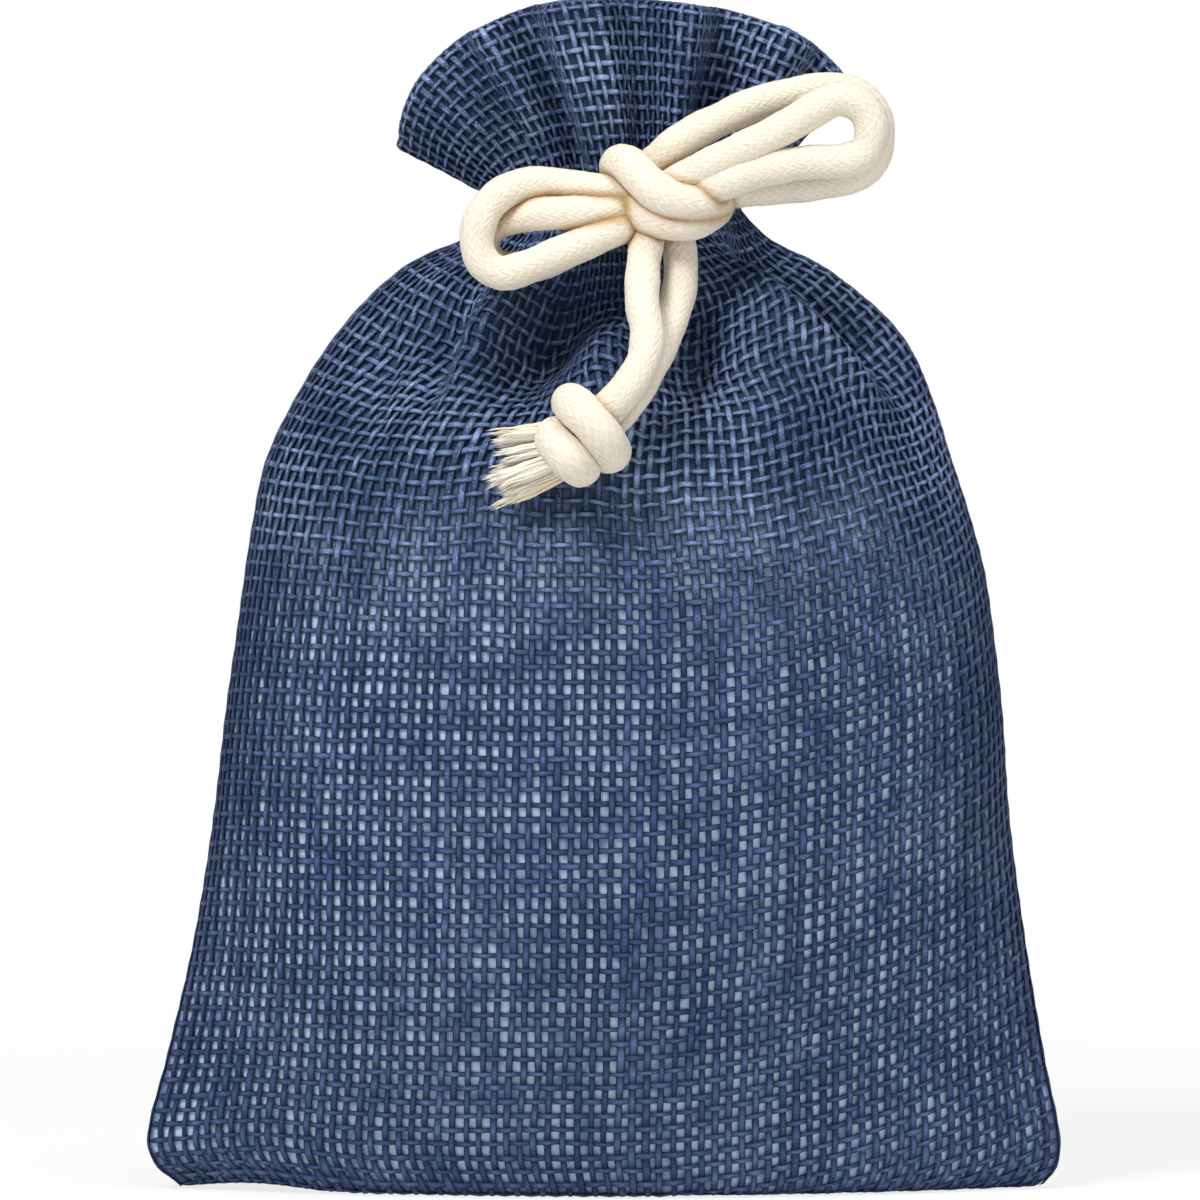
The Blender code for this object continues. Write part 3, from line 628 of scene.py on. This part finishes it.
def gathered_points(angle, place):
    """The cloth's middle surface with its gathers, place up the cloth by place round it."""
    points = smooth_points(angle, place)
    out = surface_normals(points)
    shoulder = straight_through(SHOULDER_STRENGTH, np.clip(place, 0, 1))
    neck = np.clip((place - 0.94) / 0.06, 0, 1)
    header = straight_through(HEADER_STRENGTH, place)
    depth = np.where(
        place <= 1,
        SHOULDER_FOLD * shoulder * gather_height(SHOULDER_GATHERS, angle)
        + NECK_FOLD * neck * gather_height(HEADER_GATHERS, angle) + front_folds(points),
        (NECK_FOLD + (RIM_FOLD - NECK_FOLD) * header) * gather_height(HEADER_GATHERS, angle),
    )
    return points + out * depth[..., None]


def evenly_round(points, stations):
    """Each ring's points again, spaced evenly in each half between the two side seams."""
    rings = []
    half = points.shape[1] // 2
    for ring in points:
        closed = np.vstack([ring, ring[:1]])
        along = np.concatenate([[0], np.cumsum(np.linalg.norm(np.diff(closed, axis=0), axis=1))])
        first = np.linspace(0, along[half], stations // 2, endpoint=False)
        second = np.linspace(along[half], along[-1], stations - stations // 2, endpoint=False)
        at = np.concatenate([first, second])
        rings.append(np.stack([np.interp(at, along, closed[:, k]) for k in range(3)], axis=1))
    return np.array(rings)


def lengths_up(points):
    """Length of each column of a grid, from its first row up to each of its rows."""
    steps = np.linalg.norm(np.diff(points, axis=0), axis=2)
    return np.vstack([np.zeros(points.shape[1]), np.cumsum(steps, axis=0)])


def placed_up(points, targets):
    """Each column's points again, at the target lengths along it."""
    along = lengths_up(points)
    columns = []
    for column in range(points.shape[1]):
        at = targets[:, column]
        line = points[:, column]
        columns.append(
            np.stack([np.interp(at, along[:, column], line[:, k]) for k in range(3)], axis=1)
        )
    return np.stack(columns, axis=1)


# The weave. Coarse plain weave of shiny polyester yarn: 70 warps to a panel, and rows 1.6 mm
# apart. The rows start at the bottom seam, come round the foot and climb towards the right.
WARPS_PER_PANEL = 70
STATIONS = 4 * WARPS_PER_PANEL
WARP_PITCH = 0.00137
WEFT_PITCH = 0.0016
BAG_ROWS = 70
HEADER_ROWS = 14
ROLL_ROWS = 2
FOOT_ROWS = 8
HEM_ROWS = 12
YARN_SIDES = 6
WARP_WIDTH = 0.00073
WEFT_WIDTH = 0.00057
YARN_THICKNESS = 0.00028
CRIMP = 0.00015
# Rough lengths of the yarns, which their maps run along.
WARP_LENGTH = 0.17
WEFT_LENGTH = 0.10

dense_angle = np.linspace(-math.pi / 2, 1.5 * math.pi, 1440, endpoint=False)[None, :]
bag_dense = gathered_points(dense_angle, np.linspace(0, 1, 300)[:, None])
bag_dense = evenly_round(bag_dense, STATIONS)
seam_line = bag_dense[0] * np.array([1.0, 0.0, 1.0])
bag_dense = np.concatenate([seam_line[None], bag_dense])
lengths = lengths_up(bag_dense)
foot_reach = lengths[1]
bag_length = lengths[-1] - foot_reach
rightness = eased(seam_line[:, 0], -0.006, 0.012)
rise = (foot_reach.max() - foot_reach) * rightness
row_share = np.linspace(0, 1, 2 * BAG_ROWS + 1)[:, None]
even_length = BAG_ROWS * WEFT_PITCH
fitted = eased(row_share, 0.4, 1.0)
bag_targets = foot_reach + rise * (1 - fitted)
bag_targets = bag_targets + row_share * (even_length * (1 - fitted) + bag_length * fitted)
foot_share = np.linspace(0, 1, 2 * FOOT_ROWS + 1)[:-1, None]
foot_targets = foot_share * (foot_reach + rise)[None, :]
bag_grid = placed_up(bag_dense, np.concatenate([foot_targets, bag_targets]))

header_dense = evenly_round(
    gathered_points(dense_angle, np.linspace(1, 2, 60)[:, None]), STATIONS
)
header_share = np.linspace(0, 1, 2 * HEADER_ROWS + 1)[:, None]
header_grid = placed_up(header_dense, header_share * lengths_up(header_dense)[-1][None, :])

# The rim. The cloth turns over at the top and runs down inside as a hem.
header_out = surface_normals(header_grid)
rim_up = unit(header_grid[-1] - header_grid[-3])
rim_out = header_out[-1]
roll_angle = np.linspace(0, math.pi, 2 * ROLL_ROWS + 1)[1:-1, None, None]
rim_middle = header_grid[-1] - rim_out * HEADER_WALL / 2
roll_grid = rim_middle[None] + rim_out[None] * np.cos(roll_angle) * HEADER_WALL / 2
roll_grid = roll_grid + rim_up[None] * np.sin(roll_angle) * HEADER_WALL / 2
hem_grid = (header_grid - header_out * HEADER_WALL)[::-1][: 2 * HEM_ROWS + 1]
cloth = np.concatenate([bag_grid, header_grid[1:], roll_grid, hem_grid])

# Hand-made unevenness: the foot lifts a little at its left, and no yarn runs quite straight.
FOOT_LIFT = 0.0010
FOOT_LIFT_PLACE = -0.037
FOOT_LIFT_WIDTH = 0.008
LOWEST_YARN = 0.00036
WANDER = 0.00008
WAVES_UP = 26
WAVES_ROUND = 41
random = np.random.default_rng(11)
lift = np.exp(-(((cloth[..., 0] - FOOT_LIFT_PLACE) / FOOT_LIFT_WIDTH) ** 2))
lift = lift * (1 - eased(cloth[..., 2], 0.0, 0.02))
cloth[..., 2] += lift * FOOT_LIFT
for _ in range(2):
    cloth[1:-1] = cloth[1:-1] * 0.5 + (cloth[:-2] + cloth[2:]) * 0.25
rows_count = len(cloth)
stops = np.linspace(0, rows_count - 1, WAVES_UP)
sideways = np.stack([
    np.interp(np.arange(rows_count), stops, random.normal(0, 1, WAVES_UP))
    for _ in range(STATIONS // 2)
])
sideways = np.repeat(sideways, 2, axis=0).T
stops = np.linspace(0, STATIONS, WAVES_ROUND)
upward = []
for _ in range(rows_count // 2 + 1):
    waves = random.normal(0, 1, WAVES_ROUND)
    waves[-1] = waves[0]
    upward.append(np.interp(np.arange(STATIONS), stops, waves))
upward = np.repeat(np.array(upward), 2, axis=0)[:rows_count]
around_way = np.roll(cloth, -1, axis=1) - np.roll(cloth, 1, axis=1)
up_way = np.gradient(cloth, axis=0)
fit = np.clip(np.linalg.norm(around_way, axis=2) / 0.0014, 0.3, 1.0)[..., None]
cloth = cloth + unit(around_way) * sideways[..., None] * WANDER * fit
cloth = cloth + unit(up_way) * upward[..., None] * WANDER * fit
cloth[..., 2] = np.maximum(cloth[..., 2], LOWEST_YARN)
normals = surface_normals(cloth)
flatness = 1 - eased(cloth[..., 2], 0.0004, 0.0022)
inner_foot = ((np.arange(rows_count) < 2 * FOOT_ROWS)[:, None] * flatness)[..., None]
normals = unit(normals * (1 - inner_foot) + np.array([0, 0, -1.0]) * inner_foot)


def yarn_rings(middle, out, half_width, half_thickness):
    """Rings of flattened yarns: middle and outward side for each point of each yarn."""
    ahead = unit(np.gradient(middle, axis=1))
    across = unit(np.cross(out, ahead))
    over = unit(np.cross(ahead, across))
    around = np.linspace(0, 2 * math.pi, YARN_SIDES, endpoint=False)
    wide = across[:, :, None] * np.cos(around)[None, None, :, None] * half_width[:, :, None, None]
    deep = over[:, :, None] * np.sin(around)[None, None, :, None] * half_thickness
    rings = middle[:, :, None] + wide + deep
    rings[:, 0] = middle[:, :1]
    rings[:, -1] = middle[:, -1:]
    return rings


def crimp_sign(first, count):
    """1 where a yarn passes over, -1 where it passes under, 0 between two crossings."""
    steps = np.arange(count)
    return np.where(steps % 2 == 0, np.where((steps // 2 + first) % 2 == 0, 1.0, -1.0), 0.0)


around_step = np.linalg.norm(around_way, axis=2)
up_step = np.linalg.norm(up_way, axis=2) * 2
warp_fit = np.clip(around_step / WARP_PITCH, 0.34, 1.0)
weft_fit = np.clip(up_step / WEFT_PITCH, 0.45, 1.0)

# Heights between which the yarns' painted highlights grow stronger: at the shoulders, and again in
# the header.
SHOULDER_SHINE = (0.052, 0.084)
HEADER_SHINE = (0.098, 0.108)
polyester = Finish("blue_yarn", {"Roughness": 0.40, "Specular IOR Level": 0.35})
polyester.shader.inputs["Specular Tint"].default_value = (0.45, 0.65, 1.0, 1.0)
yarn_uv = polyester.parts(polyester.node("ShaderNodeUVMap", {"uv_map": "strand"})[0])
tone = polyester.node("ShaderNodeAttribute", {"attribute_name": "tone"})[2]
twist = yarn_uv[0] * 26.0 + yarn_uv[1] * 900.0
fibre = polyester.noise(polyester.joined(twist, yarn_uv[1] * 500.0, tone * 37.0), 1.0, 4.0)
place = polyester.node("ShaderNodeTexCoord")[3]
patch = polyester.noise(place, 90.0, 3.0)
# Painted light and shade: the tone attribute lightens each yarn's crown where it passes over and
# darkens its sides and the places where it passes under, besides each yarn's random tone.
base = polyester.mixed(tone, (0.004, 0.011, 0.038), (0.036, 0.072, 0.200))
height = polyester.parts(place)[2]
# Painted highlight, stronger up the shoulders and in the header, where the cloth faces the light
# from above.
shine = polyester.ranged(height, *SHOULDER_SHINE) * 1.15 + 0.40
shine = shine + polyester.ranged(height, *HEADER_SHINE) * 0.55
gleam = polyester.ranged(fibre + (patch - 0.5) * 0.3, 0.44, 0.64) * tone * shine
# Painted highlight: pale blue-white on the yarn crowns.
blue = polyester.mixed(gleam, base, (0.420, 0.560, 0.860))
polyester.feed("Base Color", blue)
bump = polyester.node(
    "ShaderNodeBump", None, {"Strength": 0.8, "Distance": 0.00012, "Height": fibre}
)
polyester.feed("Normal", bump[0])


def slubs(shape):
    """Thick and thin places along each yarn."""
    yarns, places = shape
    stops = np.arange(0, places + 6, 5)
    return np.stack([
        np.interp(np.arange(places), stops, random.uniform(0.84, 1.18, len(stops)))
        for _ in range(yarns)
    ])


def crimped(out, sign):
    """How far yarns bow out and in over each other, less round the side seams and the rim, where
    they are drawn tight."""
    tightness = np.clip(np.abs(out[..., 1]) * 1.6, 0.25, 1)
    return out * (sign * tightness * CRIMP)[..., None]


def glints(out, sign, low, high):
    """Tones for each ring of the yarns: painted highlight on top where a yarn passes over, painted
    shade on its sides and where it passes under, with a random tone for each yarn. At the side
    seams, where the yarns show their flanks, the flanks get painted highlight too."""
    yarn = random.uniform(low, high, (len(sign), 1)) * random.uniform(0.6, 1.2, sign.shape)
    crown = np.array((0.25, 1.0, 1.0, 0.25, 0.0, 0.0))
    turned = np.clip(1 - np.abs(out[..., 1:2]) * 1.7, 0, 1)
    crown = crown + (0.6 - crown) * turned
    return (yarn * (0.16 + 0.84 * ((sign + 1) / 2) ** 1.6))[..., None] * crown


def weave_warps(name, columns):
    middle = np.stack([cloth[:, column] for column in columns])
    out = np.stack([normals[:, column] for column in columns])
    sign = np.stack([crimp_sign(column // 2, rows_count) for column in columns])
    width = np.stack([warp_fit[:, column] for column in columns]) * WARP_WIDTH / 2
    width = width * random.uniform(0.86, 1.12, (len(columns), 1)) * slubs(width.shape)
    rings = yarn_rings(middle + crimped(out, sign), out, width, YARN_THICKNESS / 2)
    piece = lay_tubes(name, rings, glints(out, sign, 0.45, 0.95), WARP_LENGTH)
    piece.data.materials.append(polyester.material)
    return piece


def weave_wefts(name, first_station, last_station):
    rows = range(0, rows_count, 2)
    stations = np.arange(first_station, last_station + 1)
    middle = np.stack([cloth[row, stations % STATIONS] for row in rows])
    out = np.stack([normals[row, stations % STATIONS] for row in rows])
    sign = np.stack([crimp_sign(row // 2 + first_station // 2 + 1, len(stations)) for row in rows])
    width = np.stack([weft_fit[row, stations % STATIONS] for row in rows]) * WEFT_WIDTH / 2
    width = width * random.uniform(0.86, 1.15, (len(rows), 1)) * slubs(width.shape)
    rings = yarn_rings(middle + crimped(out, sign), out, width, YARN_THICKNESS / 2)
    piece = lay_tubes(name, rings, glints(out, sign, 0.65, 1.15), WEFT_LENGTH)
    piece.data.materials.append(polyester.material)
    return piece


half = STATIONS // 2
cloth_pieces = [
    weave_warps("front_warps", range(0, half, 2)),
    weave_warps("back_warps", range(half, STATIONS, 2)),
    weave_wefts("front_wefts", 0, half),
    weave_wefts("back_wefts", half, STATIONS),
]

# Filling. Pale crumpled stuffing presses against the cloth from inside and shows in the holes
# of the weave. Above FREE_HEIGHTS, where the cloth hangs free of it, the same sheet is painted
# dark navy as painted shade inside the hollow, up into the header. Towards the side seams, where
# the cloth is drawn tight, it is painted dark blue as painted shade.
FILLING_DEPTH = 0.00032
FREE_HEIGHTS = (0.057, 0.079)
looseness = np.clip(np.abs(normals[..., 1:2]) * 1.6, 0.2, 1)
filling_points = (cloth - normals * looseness * FILLING_DEPTH)[::2]


def sheet_from_grid(name, points, tones):
    """A sheet closed round itself, from a grid of points and their tones."""
    rows, columns = points.shape[:2]
    bm = bmesh.new()
    tone_layer = bm.verts.layers.float.new("tone")
    bmesh.ops.create_grid(bm, x_segments=columns, y_segments=rows - 1, size=1.0)
    for vert in bm.verts:
        column = round((vert.co.x + 1) / 2 * columns) % columns
        row = round((vert.co.y + 1) / 2 * (rows - 1))
        vert.co = points[row, column]
        vert[tone_layer] = tones[row, column]
    bmesh.ops.remove_doubles(bm, verts=bm.verts, dist=1e-7)
    bmesh.ops.recalc_face_normals(bm, faces=bm.faces)
    mesh = bpy.data.meshes.new(name)
    bm.to_mesh(mesh)
    bm.free()
    mesh.shade_smooth()
    piece = bpy.data.objects.new(name, mesh)
    bpy.context.scene.collection.objects.link(piece)
    return piece


stuffing_and_shade = Finish("filling_and_shade_sheet", {"Roughness": 0.9, "Specular IOR Level": 0.1})
place = stuffing_and_shade.node("ShaderNodeTexCoord")[3]
spot = stuffing_and_shade.parts(place)
# tightness: the tone attribute, the share of painted shade towards the side seams.
tightness = stuffing_and_shade.node("ShaderNodeAttribute", {"attribute_name": "tone"})[2]
crumple = stuffing_and_shade.ranged(stuffing_and_shade.noise(place, 330.0, 3.0) - tightness * 0.25, 0.34, 0.62)
pale = stuffing_and_shade.mixed(crumple, (0.16, 0.23, 0.40), (0.50, 0.62, 0.84))
pale = stuffing_and_shade.mixed(tightness * 0.85, pale, (0.040, 0.075, 0.180))
edge = (stuffing_and_shade.noise(place, 55.0, 1.0) - 0.5) * 0.02
# Painted shade: above FREE_HEIGHTS the sheet turns dark navy, the shade inside the hollow cloth.
free = stuffing_and_shade.ranged(spot[2] + edge, *FREE_HEIGHTS)
stuffing_and_shade.feed("Base Color", stuffing_and_shade.mixed(free, pale, (0.030, 0.050, 0.100)))
seam_shade = np.clip(1 - np.abs(normals[..., 1]) * 1.25, 0, 1)[::2]
filling_and_shade_sheet = sheet_from_grid("filling_and_shade_sheet", filling_points, seam_shade)
filling_and_shade_sheet.data.materials.append(stuffing_and_shade.material)

for piece in (*cloth_pieces, filling_and_shade_sheet):
    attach(piece, "root")
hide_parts("pouch")

# Floor. A wide pale ground that ends in white and keeps a soft shadow under the pouch.
FLOOR_SIZE = 6.0
SHADOW_REACH = (0.10, 0.32)
bm = bmesh.new()
bmesh.ops.create_grid(bm, x_segments=1, y_segments=1, size=FLOOR_SIZE)
floor_mesh = bpy.data.meshes.new("floor")
bm.to_mesh(floor_mesh)
bm.free()
floor = bpy.data.objects.new("floor", floor_mesh)
bpy.context.scene.collection.objects.link(floor)
ground = Finish("ground", {"Base Color": (0.86, 0.86, 0.86, 1.0), "Roughness": 0.9})
ground.shader.inputs["Specular IOR Level"].default_value = 0.0
seen = ground.node("ShaderNodeLightPath")
place = ground.node("ShaderNodeTexCoord")[3]
away = ground.node("ShaderNodeVectorMath", {"operation": "LENGTH"}, {0: place})[1]
glow = ground.node("ShaderNodeEmission", None, {"Color": (1.0, 1.0, 1.0, 1.0), "Strength": 1.0})[0]
lit = Shade(ground, ground.shader.outputs[0])
share = seen[0] * (ground.ranged(away, *SHADOW_REACH) * 0.2 + 0.8)
blend = ground.node("ShaderNodeMixShader", None, {0: share, 1: lit, 2: glow})[0]
ground.tree.links.new(blend.socket, ground.tree.nodes["Material Output"].inputs["Surface"])
floor.data.materials.append(ground.material)

# Light. A soft lamp from the upper left of the front, one from above, a weak one from the right,
# and an even pale surround that the camera sees as white.
LAMPS = (
    ("key", (-0.38, -0.58, 0.74), 0.34, 7.7),
    ("top", (0.16, -0.26, 1.00), 0.40, 4.6),
    ("fill", (0.60, -0.55, 0.25), 0.60, 1.5),
)
for lamp_name, lamp_place, lamp_size, lamp_power in LAMPS:
    lamp_data = bpy.data.lights.new(lamp_name, "AREA")
    lamp_data.shape = "DISK"
    lamp_data.size = lamp_size
    lamp_data.energy = lamp_power
    lamp = bpy.data.objects.new(lamp_name, lamp_data)
    bpy.context.scene.collection.objects.link(lamp)
    lamp.location = lamp_place
    lamp.rotation_mode = "QUATERNION"
    aim = Vector((0.0, 0.0, 0.06)) - Vector(lamp_place)
    lamp.rotation_quaternion = aim.to_track_quat("-Z", "Y")
world = bpy.data.worlds.new("surround")
bpy.context.scene.world = world
world.use_nodes = True
nodes = world.node_tree.nodes
links = world.node_tree.links
background = nodes["Background"]
background.inputs["Color"].default_value = (0.93, 0.95, 1.0, 1.0)
background.inputs["Strength"].default_value = 0.18
white = nodes.new("ShaderNodeBackground")
white.inputs["Color"].default_value = (1.0, 1.0, 1.0, 1.0)
white.inputs["Strength"].default_value = 1.0
path = nodes.new("ShaderNodeLightPath")
choose = nodes.new("ShaderNodeMixShader")
links.new(path.outputs["Is Camera Ray"], choose.inputs[0])
links.new(background.outputs[0], choose.inputs[1])
links.new(white.outputs[0], choose.inputs[2])
links.new(choose.outputs[0], nodes["World Output"].inputs["Surface"])
bpy.context.scene.view_settings.view_transform = "Standard"
